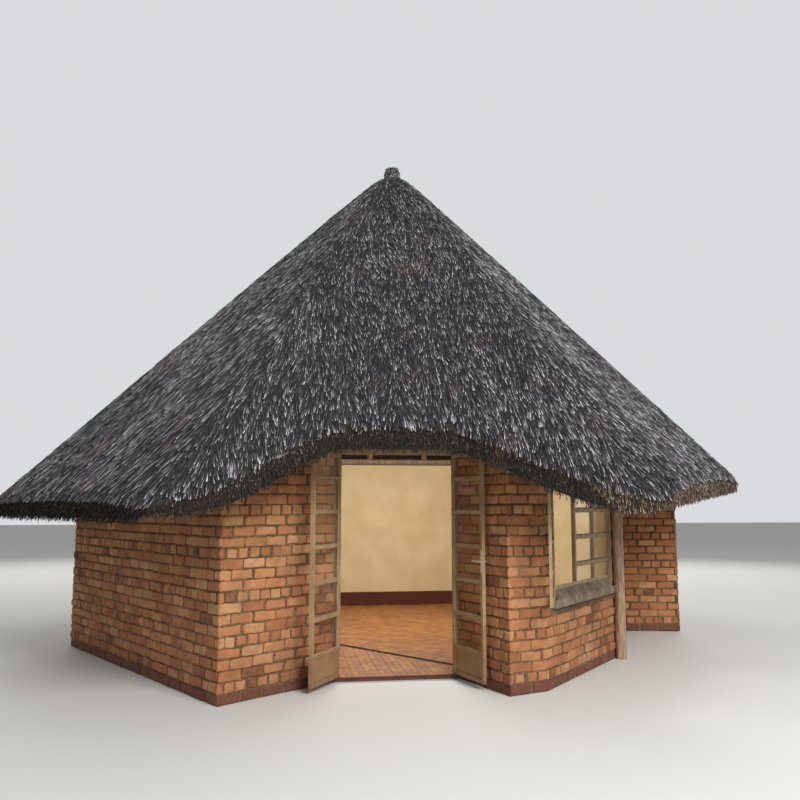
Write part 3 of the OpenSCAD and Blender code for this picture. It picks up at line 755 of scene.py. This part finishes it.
line_dir = (LINE_TO - LINE_FROM).normalized()
line_side = left_of(line_dir)
room = [corner(k) for k in range(6)]
for a, b in zip(room[:], room[1:] + room[:1]):
    inward = left_of(b - a).normalized()
    room = cut_outline(room, a + inward * (WALL_T + EDGE), inward)
room = cut_outline(room, Vector((0, DOOR_Y + WALL_T + EDGE)), Vector((0, 1)))
window_dir = along(WINDOW_TURN)
window_in = left_of(window_dir)
room = cut_outline(room, pier_right + window_in * (WALL_T + EDGE), window_in)
porch_in = left_of(along(PORCH_TURN))
room = cut_outline(room, porch_corner + porch_in * (WALL_T + EDGE), porch_in)
doorway = [Vector((DOOR_X + side * DOOR_W / 2, DOOR_Y + inside)) for side, inside in (
    (-1, SILL_EDGE), (1, SILL_EDGE), (1, WALL_T + EDGE), (-1, WALL_T + EDGE))]
rear_floor = cut_outline(room, LINE_FROM - line_side * SPARE, line_side)
front_floor = cut_outline(room, LINE_FROM + line_side * SPARE, -line_side)
line_ends = [p for p in cut_outline(room, LINE_FROM, line_side)
             if abs((p - LINE_FROM).dot(line_side)) < NEAR / 10]
print("corners of the two floors:", len(rear_floor), len(front_floor))
print("length of the dark line, metres:", round((line_ends[1] - line_ends[0]).length, 2))


# %% Tree that lays the tiles
TILE_SUMS = (
    ("in reach", "DIVIDE", "Reach", "Pitch"),
    ("half count", "CEIL", "in reach"),
    ("columns", "MULTIPLY", "half count", 2.0),
    ("total", "MULTIPLY", "columns", "columns"),
    *GRID_SUMS,
    ("column off", "SUBTRACT", "column", "half count"),
    ("row off", "SUBTRACT", "row", "half count"),
    ("x", "MULTIPLY", "column off", "Pitch"),
    ("y", "MULTIPLY", "row off", "Pitch"),
    ("both", "ADD", "row", "column"),
    ("odd", "MODULO", "both", 2.0),
    ("turned", "MULTIPLY", "odd", "Alternate"),
    ("quarter", "MULTIPLY_ADD", "turned", math.pi / 2, "Turn"),
)


def make_tiles_tree():
    tree, known = new_tree("lay_floor_tiles", {
        "Geometry": ("Geometry",), "Float": ("Pitch", "Reach", "Turn", "Alternate"), "Int": ("Seed",),
        "Object": ("Tiles",), "Material": ("Material",)})
    known["index"] = add(tree, "GeometryNodeInputIndex")
    work_out(tree, known, TILE_SUMS)
    flat = add(tree, "ShaderNodeCombineXYZ", (known["x"], known["y"]))
    place = add(tree, "ShaderNodeVectorRotate", {"Vector": flat, "Angle": known["Turn"]})
    points = add(tree, "GeometryNodePoints", {"Count": known["total"], "Position": place})
    points = add(tree, "GeometryNodeStoreNamedAttribute", {
        "Geometry": points, "Name": "quarter", "Value": known["quarter"]})
    spot = add(tree, "GeometryNodeInputPosition")
    above = add(tree, "ShaderNodeVectorMath", (spot, (0, 0, 1)), operation="ADD")
    look = add(tree, "GeometryNodeRaycast", {
        "Target Geometry": known["Geometry"], "Source Position": above, "Ray Direction": (0, 0, -1),
        "Ray Length": 3.0})
    missed = add(tree, "FunctionNodeBooleanMath", [look], operation="NOT")
    kept = add(tree, "GeometryNodeDeleteGeometry", {"Geometry": points, "Selection": missed})
    tiles = add(tree, "GeometryNodeObjectInfo", {"Object": known["Tiles"]}).outputs["Geometry"]
    own_turn = add(tree, "GeometryNodeInputNamedAttribute", {"Name": "quarter"})
    turn = add(tree, "ShaderNodeCombineXYZ", {"Z": own_turn})
    laid = add(tree, "GeometryNodeInstanceOnPoints", {"Points": kept, "Instance": tiles, "Rotation": turn})
    whole = add(tree, "GeometryNodeRealizeInstances", {"Geometry": laid})
    island = add(tree, "GeometryNodeInputMeshIsland")
    heat = add(tree, "FunctionNodeRandomValue", {2: 0.3, 3: 0.8, "ID": island, "Seed": known["Seed"]})
    whole = add(tree, "GeometryNodeStoreNamedAttribute", {
        "Geometry": whole, "Name": "fired", "Value": heat})
    return end_tree(tree, known, whole)


def make_tiles(name, length, width, offsets, thick):
    """Low tiles with a worn rim, side by side across their width."""
    bm = bmesh.new()
    for offset in offsets:
        rings = [[bm.verts.new((sx * (length / 2 - inset), offset + sy * (width / 2 - inset), FLOOR_H + z))
                  for sx, sy in ((-1, -1), (1, -1), (1, 1), (-1, 1))]
                 for inset, z in ((0, -TILE_SUNK), (0, 0.5 * thick), (TILE_RIM, thick))]
        for low, high in zip(rings, rings[1:]):
            for i in range(4):
                k = (i + 1) % 4
                bm.faces.new((low[i], low[k], high[k], high[i]))
        bm.faces.new(rings[-1])
    return bpy.data.objects.new(name, mesh_of(bm, name))


# %% Lay both floors
def trim_at_line(mesh, side):
    """Keeps what lies on that side of the dark line, up to just under its strip."""
    bm = bmesh.new()
    bm.from_mesh(mesh)
    edge = LINE_FROM + side * (LINE_W / 2 - STRIP_LAP)
    bmesh.ops.bisect_plane(bm, geom=bm.verts[:] + bm.edges[:] + bm.faces[:], dist=NEAR / 10,
                           plane_co=edge.to_3d(), plane_no=side.to_3d(), clear_inner=True)
    bm.to_mesh(mesh)
    bm.free()


tiles_tree = make_tiles_tree()
pair = make_tiles("tile_pair", 2 * TILE_W - TILE_GAP, TILE_W - TILE_GAP, (-TILE_W / 2, TILE_W / 2), TILE_T)
line_turn = math.atan2(line_dir.y, line_dir.x)
for name, outlines, turn, side in (
    ("rear_floor_tiles", [rear_floor], line_turn, line_side),
    ("front_floor_tiles", [front_floor, doorway], 0.0, -line_side),
):
    laid = grow(name, tiles_tree, {
        "Pitch": 2 * TILE_W, "Reach": WALL_CORNER_R, "Turn": turn, "Alternate": 1.0, "Seed": 5,
        "Tiles": pair, "Material": clay_tile}, flat_mesh(name + "_outline", outlines))
    trim_at_line(laid.data, side)
    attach(laid, "building")
    print(name, "faces:", len(laid.data.polygons))
bpy.data.objects.remove(pair)

# %% The dark line
strip_count = int((line_ends[1] - line_ends[0]).length / STRIP_L)
line_start = min(line_ends, key=lambda p: p.dot(line_dir))
middles = [(i + 0.5) * STRIP_L for i in range(strip_count)]
strip = make_tiles("dark_line_tiles", LINE_W, STRIP_L - 0.002, middles, TILE_T + 0.001)
strip.data.transform(turned_to(-line_side, line_dir, line_start))
strip.data.materials.append(dark_tile)
bpy.context.scene.collection.objects.link(strip)
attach(strip, "building")
print("dark tiles in the line:", strip_count)

# %% [markdown]
# Each pane is bedded in putty: a sloping fillet of about a finger's width between the glass and the
# steel, painted with the frame. The panes of the solid model say where it runs. Each loose pane is
# measured in its own plane, and a ring with a three-cornered section is set along its border on both
# sides, sunk a little into the bar so that no edge of it hangs free.


# %% Putty round every pane
PUTTY_LEG, PUTTY_SINK, PUTTY_BED = 0.009, 0.001, 0.0005


def loose_parts(bm):
    """The corners of each pane, found by walking its edges, in the mesh's own order."""
    seen = set()
    for first in bm.verts:
        if first in seen:
            continue
        seen.add(first)
        part = [first]
        for v in part:
            fresh = [e.other_vert(v) for e in v.link_edges if e.other_vert(v) not in seen]
            seen.update(fresh)
            part.extend(dict.fromkeys(fresh))
        yield part


def add_putty_ring(bm, centre, across, normal, half_w, half_h, face_at):
    """A closed mitred ring on the glass face that lies face_at from the pane's middle."""
    rows = []
    for sx, sz in ((-1, -1), (1, -1), (1, 1), (-1, 1)):
        def spot(inset, out):
            flat = across * sx * (half_w - inset) + Vector((0, 0, 1)) * sz * (half_h - inset)
            return bm.verts.new(centre + flat + normal * (face_at + out))
        rows.append([spot(inset, out) for inset, out in (
            (-PUTTY_SINK, -PUTTY_BED), (PUTTY_LEG, -PUTTY_BED), (-PUTTY_SINK, PUTTY_LEG))])
    for i in range(4):
        a, b = rows[i], rows[(i + 1) % 4]
        for j in range(3):
            k = (j + 1) % 3
            bm.faces.new((a[j], b[j], b[k], a[k]))


def make_putty_on(glass_name, body):
    source = work_copy(glass_name, 0.0002)
    face = max(source.faces, key=lambda f: f.calc_area())
    normal = Vector((face.normal.x, face.normal.y, 0)).normalized()
    across = left_of(normal).to_3d()
    bm = bmesh.new()
    panes = 0
    for part in loose_parts(source):
        reach = [[v.co.dot(axis) for v in part] for axis in (across, normal, Vector((0, 0, 1)))]
        (u0, n0, z0), (u1, n1, z1) = map(min, reach), map(max, reach)
        centre = across * (u0 + u1) / 2 + normal * (n0 + n1) / 2 + Vector((0, 0, (z0 + z1) / 2))
        for side in (-1, 1):
            add_putty_ring(bm, centre, across, normal * side, (u1 - u0) / 2, (z1 - z0) / 2, (n1 - n0) / 2)
        panes += 1
    source.free()
    bmesh.ops.recalc_face_normals(bm, faces=bm.faces)
    name = "putty_" + glass_name
    made = put_in_scene(name, mesh_of(bm, name, putty))
    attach(made, body)
    return panes


for glass_name, body in (("left_door_glass", "left_door"), ("right_door_glass", "right_door"),
                         ("window_glass", "building"), ("casement_glass", "building")):
    print("panes puttied in", glass_name + ":", make_putty_on(glass_name, body))

# %% [markdown]
# The mason runs the cement up to the glass in a steep splay over the solid sill, so that rain runs off,
# and the window's lowest steel bar sits on top of it. Both have one section all along the window.

# %% Splay and bottom bar of the window
window_out = -window_in
FRAME_W = 0.045
SPLAY_FROM, SPLAY_TO = WINDOW_FROM + FRAME_W, 1.65
SPLAY_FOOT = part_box("window_sill")[1].z
SPLAY_TOP = SPLAY_FOOT + 0.085
SPLAY_OUT, SPLAY_LIP = 0.054, 0.008
BAR_H, BAR_HALF = 0.03, 0.003


def make_run(name, section, finish):
    """One section, in metres out from the wall's face and up, run along the window's foot."""
    bm = bmesh.new()
    ends = [[bm.verts.new((pier_right + window_dir * s + window_out * out).to_3d() + Vector((0, 0, z)))
             for out, z in section] for s in (SPLAY_FROM, SPLAY_TO)]
    for i in range(len(section)):
        k = (i + 1) % len(section)
        bm.faces.new((ends[0][i], ends[1][i], ends[1][k], ends[0][k]))
    for end in ends:
        bm.faces.new(end)
    bmesh.ops.recalc_face_normals(bm, faces=bm.faces)
    bmesh.ops.bevel(bm, geom=bm.edges[:], offset=0.002, segments=2, affect="EDGES", clamp_overlap=True)
    made = put_in_scene(name, mesh_of(bm, name, finish))
    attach(made, "building")
    print(name, "metres long:", round(SPLAY_TO - SPLAY_FROM, 2))


make_run("sill_splay", (
    (SPLAY_OUT, SPLAY_FOOT), (SPLAY_OUT, SPLAY_FOOT + SPLAY_LIP), (-BAR_HALF, SPLAY_TOP),
    (-BAR_HALF, SPLAY_FOOT)), cement)
make_run("window_bottom_bar", (
    (-BAR_HALF, SPLAY_TOP), (BAR_HALF, SPLAY_TOP), (BAR_HALF, SPLAY_TOP + BAR_H),
    (-BAR_HALF, SPLAY_TOP + BAR_H)), steel_paint)

# %% [markdown]
# The other solid pieces keep their shapes. Each only trades its plain colour for the finish of what it
# is made of.

# %% Finishes of the solid pieces
for names, finish in (
    (("left_door", "right_door", "door_frame", "window_frame", "window_casement"), steel_paint),
    (("left_door_glass", "right_door_glass", "window_glass", "casement_glass"), glass),
    (("door_handles",), chrome), (("window_sill",), cement), (("door_sill", "floor_slab"), step_polish),
    (("porch_post", "porch_beam", "wall_plate", "rafters", "roof_hub"), pole_wood),
    (("thatch_roof", "roof_cap"), thatch_bed),
):
    for name in names:
        cad[name].data.materials.clear()
        cad[name].data.materials.append(finish)
    print(finish.name + ":", *names)

# %% [markdown]
# Straw lies down the slope in courses, so each stalk points at the eave and its tip lifts a little off
# the one below. A geometry tree scatters stalks over the roof's upper faces, turns them down the slope,
# lifts their tips and varies their length. One stalk is a slim wedge of four faces, because there are
# more than a hundred thousand of them. Real straw is 3 to 5 mm thick, too fine to show from the camera,
# so a blade here stands for the end of a small pinch of straw, about 6 mm wide.


# %% Roof faces to thatch
STEEP, FLAT, RIM_R = 0.3, 0.98, 3
BLADES = ((0.13, 0.0065), (0.105, 0.0055), (0.15, 0.006), (0.12, 0.0078))
BLADE_T, BLADE_MEAN = 0.005, 0.125


def is_top(f):
    return STEEP < f.normal.z < FLAT


def eave_line():
    """Points a hand apart along the rim of the roof's upper faces."""
    bm = work_copy("thatch_roof")
    rim = [e for e in bm.edges
           if len({is_top(f) for f in e.link_faces}) == 2 and e.verts[0].co.xy.length > RIM_R]
    points = [e.verts[0].co.lerp(e.verts[1].co, t / 3) for e in rim for t in range(4)]
    bm.free()
    tree = kdtree.KDTree(len(points))
    for i, point in enumerate(points):
        tree.insert(point, i)
    tree.balance()
    return tree


rim_tree = eave_line()


def roof_skin(name, node, keep):
    """A copy of the node's faces that keep() picks, each corner with its distance from the eave."""
    bm = work_copy(node)
    bmesh.ops.delete(bm, geom=[f for f in bm.faces if not keep(f)], context="FACES")
    layer = bm.verts.layers.float.new("to_eave")
    for v in bm.verts:
        v[layer] = rim_tree.find(v.co)[2]
    return mesh_of(bm, name)


def make_blade(name, length, width):
    bm = bmesh.new()
    layer = bm.verts.layers.float.new("tip")
    root = [bm.verts.new(p) for p in ((0, 0, 0), (0.1 * length, 0, BLADE_T))]
    tip = [bm.verts.new(p) for p in ((length, -width / 2, 0), (length, width / 2, 0.2 * BLADE_T))]
    for three in ((root[0], tip[0], root[1]), (tip[0], tip[1], root[1]), (root[1], tip[1], root[0]),
                  (root[0], tip[1], tip[0])):
        bm.faces.new(three)
    bmesh.ops.recalc_face_normals(bm, faces=bm.faces)
    for v in tip:
        v[layer] = 1.0
    return bpy.data.objects.new(name, mesh_of(bm, name))


blade_shapes = bpy.data.collections.new("blade_shapes")
for index, (length, width) in enumerate(BLADES):
    blade_shapes.objects.link(make_blade(f"blade_{index}", length, width))
print("blade shapes:", len(BLADES))


# %% [markdown]
# Straw doesn't lie evenly. It hangs together in tufts a few fingers wide and a forearm long, some tufts
# lighter and some turned a little aside. So the tree reads two noises in a plane of its own, measured
# across the slope and down it, which draws them out along the straw.

# %% Sums of one blade
STRAW_SUMS = (
    ("tuft off", "SUBTRACT", "tuft", 0.5),
    ("bundle off", "SUBTRACT", "bundle", 0.5),
    ("cloud off", "SUBTRACT", "cloud", 0.5),
    ("own yaw", "MULTIPLY", "turn", "Spread"),
    ("tuft yaw", "MULTIPLY", "bundle off", "Tufts"),
    ("yaw", "MULTIPLY_ADD", "tuft yaw", 1.6, "own yaw"),
    ("pitch", "MULTIPLY", "rise", "Lift"),
    ("lengths", "SUBTRACT", "Longest", "Shortest"),
    ("own length", "MULTIPLY_ADD", "long", "lengths", "Shortest"),
    ("free", "ADD", "to eave", "Overhang"),
    ("room", "DIVIDE", "free", BLADE_MEAN),
    ("trimmed", "MINIMUM", "own length", "room"),
    ("squared", "POWER", "shade", 1.5),
    ("base grey", "MULTIPLY_ADD", "squared", 1.15, -0.08),
    ("tuft grey", "MULTIPLY_ADD", "tuft off", 0.9, "base grey"),
    ("bundle grey", "MULTIPLY_ADD", "bundle off", 0.5, "tuft grey"),
    ("sunned", "MULTIPLY_ADD", "cloud off", 0.5, "bundle grey"),
    # Painted shade: blades darken with their distance from the eave's rim, on the cut face and under it.
    ("shaded", "MULTIPLY", "to eave", "Fade"),
    ("bleached", "SUBTRACT", "sunned", "shaded"),
    ("over", "SUBTRACT", "patch", 0.62),
    ("steep", "MULTIPLY", "over", 5.0),
    ("at least none", "MAXIMUM", "steep", 0.0),
    ("fresh", "MULTIPLY", "at least none", "newness"),
)
print("sums for one blade:", len(STRAW_SUMS))


# %% Tree that lays the straw
def make_straw_tree():
    tree, known = new_tree("lay_straw", {
        "Geometry": ("Geometry",), "Int": ("Seed",), "Collection": ("Blades",), "Material": ("Material",),
        "Float": ("Density", "Lift", "Spread", "Droop", "Shortest", "Longest", "Overhang", "Tufts",
                  "Fade")})
    draw(tree, known, 5.0, (
        ("turn", -1.0, 1.0), ("rise", -1.5, -0.2), ("roll", -0.8, 0.8), ("long", 0.0, 1.0),
        ("wide", 0.65, 1.35), ("shade", 0.0, 1.0), ("newness", 0.0, 1.0)))
    spread = add(tree, "GeometryNodeDistributePointsOnFaces", {
        "Mesh": known["Geometry"], "Density": known["Density"], "Seed": known["Seed"]})
    normal = spread.outputs["Normal"]
    spot = add(tree, "GeometryNodeInputPosition")
    out = add(tree, "ShaderNodeVectorMath", (spot, (1, 1, 0)), operation="MULTIPLY")
    height = add(tree, "ShaderNodeSeparateXYZ", [normal]).outputs["Z"]
    up = add(tree, "ShaderNodeVectorMath", {0: normal, "Scale": height}, operation="SCALE")
    down = add(tree, "ShaderNodeVectorMath", (up, (0, 0, 1)), operation="SUBTRACT")
    outward = add(tree, "ShaderNodeVectorMath", [out], operation="NORMALIZE")
    drop = add(tree, "ShaderNodeVectorMath", {0: outward, "Scale": known["Droop"]}, operation="SCALE")
    fall = add(tree, "ShaderNodeVectorMath", (down, drop), operation="ADD")
    turned = add(tree, "FunctionNodeAxesToRotation", {"Primary Axis": normal, "Secondary Axis": fall},
                 primary_axis="Z", secondary_axis="X")

    for name, place, scale, detail in (
            ("cloud", spot, 0.8, 2.0), ("patch", spot, 2.1, 1.0),
            ("tuft", along_straw(tree, spot, normal, 16.0, 3.0), 1.0, 2.0),
            ("bundle", along_straw(tree, spot, normal, 5.0, 1.3), 1.0, 2.0)):
        known[name] = add(tree, "ShaderNodeTexNoise", {"Vector": place, "Scale": scale, "Detail": detail})
    known["to eave"] = add(tree, "GeometryNodeInputNamedAttribute", {"Name": "to_eave"})
    work_out(tree, known, STRAW_SUMS)
    sway = add(tree, "ShaderNodeCombineXYZ", (known["roll"], known["pitch"], known["yaw"]))
    swung = add(tree, "FunctionNodeEulerToRotation", [sway])
    swayed = add(tree, "FunctionNodeRotateRotation", {"Rotation": turned, "Rotate By": swung},
                 rotation_space="LOCAL")
    points = spread
    for name in ("bleached", "fresh"):
        points = add(tree, "GeometryNodeStoreNamedAttribute", {
            "Geometry": points, "Name": name, "Value": known[name]})
    shapes = add(tree, "GeometryNodeCollectionInfo", {
        "Collection": known["Blades"], "Separate Children": True, "Reset Children": True})
    scale = add(tree, "ShaderNodeCombineXYZ", (known["trimmed"], known["wide"], 1.0))
    laid = add(tree, "GeometryNodeInstanceOnPoints", {
        "Points": points, "Instance": shapes, "Pick Instance": True, "Rotation": swayed, "Scale": scale})
    whole = add(tree, "GeometryNodeRealizeInstances", {"Geometry": laid})
    return end_tree(tree, known, whole)


straw_tree = make_straw_tree()
print("nodes in the straw's tree:", len(straw_tree.nodes))

# %% [markdown]
# The roof is thatched in three thirds, so that no piece grows too heavy. The cut face of the eave gets
# shorter and browner straw, because the thatcher cuts it through and the sun doesn't reach it, and it
# darkens towards the bottom as painted shade. It is painted nearly black with shade over the door and
# lighter over the porch. The cap at the top is a bound bundle, so its straw stands straight down its
# sides.

# %% Thatch the roof, its eave and its cap
PORCH_EAVE_X = 1.1
straw_count = 0
for order, (name, middle) in enumerate((("front", 270), ("right", 30), ("left", 150))):
    def in_third(f, middle=middle):
        c = f.calc_center_median()
        turn = (math.degrees(math.atan2(c.y, c.x)) - middle + 180) % 360 - 180
        return is_top(f) and -60 <= turn < 60
    made = grow(f"straw_{name}", straw_tree, {
        "Density": 1850.0, "Lift": 0.07, "Spread": 0.13, "Droop": 0.0, "Shortest": 0.6, "Longest": 1.1,
        "Overhang": 0.05, "Tufts": 0.9, "Fade": 0.0, "Seed": 40 + order, "Blades": blade_shapes,
        "Material": straw},
        roof_skin(f"skin_{name}", "thatch_roof", in_third))
    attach(made, "building")
    straw_count += len(made.data.polygons) // 4


def on_cut_face(f):
    return abs(f.normal.z) <= STEEP and f.calc_center_median().xy.length > RIM_R


def over_porch(f):
    return f.calc_center_median().x > PORCH_EAVE_X


# Over the door the cut face is painted nearly black as shade; over the porch it gets less painted shade.
for name, node, keep, density, finish, lift, spread, longest, eave_shade in (
    ("straw_eave_edge", "thatch_roof", lambda f: on_cut_face(f) and not over_porch(f),
     5600.0, edge_straw_in_painted_shade, 0.4, 0.3, 0.43, 3.0),
    ("straw_porch_edge", "thatch_roof", lambda f: on_cut_face(f) and over_porch(f),
     6200.0, porch_straw, 0.22, 0.2, 0.38, 0.8),
    ("straw_cap", "roof_cap", lambda f: f.normal.z > -0.5, 9000.0, straw, 0.02, 0.1, 0.4, 0.0),
):
    edge = grow(name, straw_tree, {
        "Density": density, "Lift": lift, "Spread": spread, "Droop": 0.2, "Shortest": 0.25,
        "Longest": longest, "Overhang": 1.0, "Tufts": 0.6, "Fade": eave_shade, "Seed": 51,
        "Blades": blade_shapes, "Material": finish},
        roof_skin(name + "_skin", node, keep))
    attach(edge, "building")
    print(name, "blades:", len(edge.data.polygons) // 4)
print("blades on the roof:", straw_count)

# %% [markdown]
# A pale floor and a pale world stand in for the studio. The camera, gloss and glass see the world
# brighter than the hut is lit by it, so the background is pale and the walls keep their colour. Large
# soft lamps do the rest. The main lamp stands to the right of the entrance, so the doorway's splayed
# walls are bright and the left wall is in shade.

# %% Studio floor, backdrop and lamps
bpy.ops.mesh.primitive_plane_add(size=120, location=(0, 0, -0.001))
floor = bpy.context.object
floor.name = "studio_floor"
floor_paint, _, floor_shader, _ = new_material("studio_floor_paint", 0.9)
feed(floor_shader, {"Base Color": linear("#d9d7d2")})
floor.data.materials.append(floor_paint)

world = bpy.data.worlds.new("studio")
bpy.context.scene.world = world
world.use_nodes = True
sky = world.node_tree
ray = add(sky, "ShaderNodeLightPath").outputs
seen = add(sky, "ShaderNodeMath", (ray["Is Camera Ray"], ray["Is Glossy Ray"]), operation="MAXIMUM")
seen = add(sky, "ShaderNodeMath", (seen, ray["Is Transmission Ray"]), operation="MAXIMUM")
strength = add(sky, "ShaderNodeMapRange", {"Value": seen, "To Min": 0.43, "To Max": 0.85})
feed(sky.nodes["Background"], {"Color": linear("#e9ebee"), "Strength": strength})

for name, place, aim, power, width in (
    ("key", (3.5, -13, 8), (0, 0, 2), 1800, 6), ("fill", (-11, -9, 7), (0, 0, 2), 25, 7),
    ("rear_left", (-7, 13, 9), (0, 0, 2), 750, 7), ("rear_right", (9, 11, 8), (0, 0, 2), 600, 7),
    ("inside", (0, 0, 2.9), (0.2, 0.6, 0), 115, 1.2),
):
    data = bpy.data.lights.new(name, "AREA")
    data.energy, data.size = power, width
    lamp = put_in_scene(name, data)
    lamp.location = place
    lamp.rotation_euler = (Vector(aim) - Vector(place)).to_track_quat("-Z", "Y").to_euler()
    print("lamp", name, "watts:", power)

# %% [markdown]
# The camera has the photo's viewing angle. Its place and its lens were worked out from the corners of
# the walls and the door.

# %% Camera at the photo's view
lens = bpy.data.cameras.new("camera")
lens.lens, lens.sensor_width = 37.35, 36
camera = put_in_scene("camera", lens)
camera.location = (-1.408, -10.099, 1.58)
camera.rotation_euler = (math.radians(90 + 7.2), 0, math.radians(-8.5))
bpy.context.scene.camera = camera
bpy.context.scene.view_settings.view_transform = "Standard"
print("viewing angle, degrees:", round(math.degrees(lens.angle), 1))

# %% [markdown]
# The single bricks and blades were only patterns, so they go.

# %% Remove the patterns
for collection in (brick_shapes, blade_shapes):
    for shape in list(collection.objects):
        bpy.data.objects.remove(shape)
    bpy.data.collections.remove(collection)
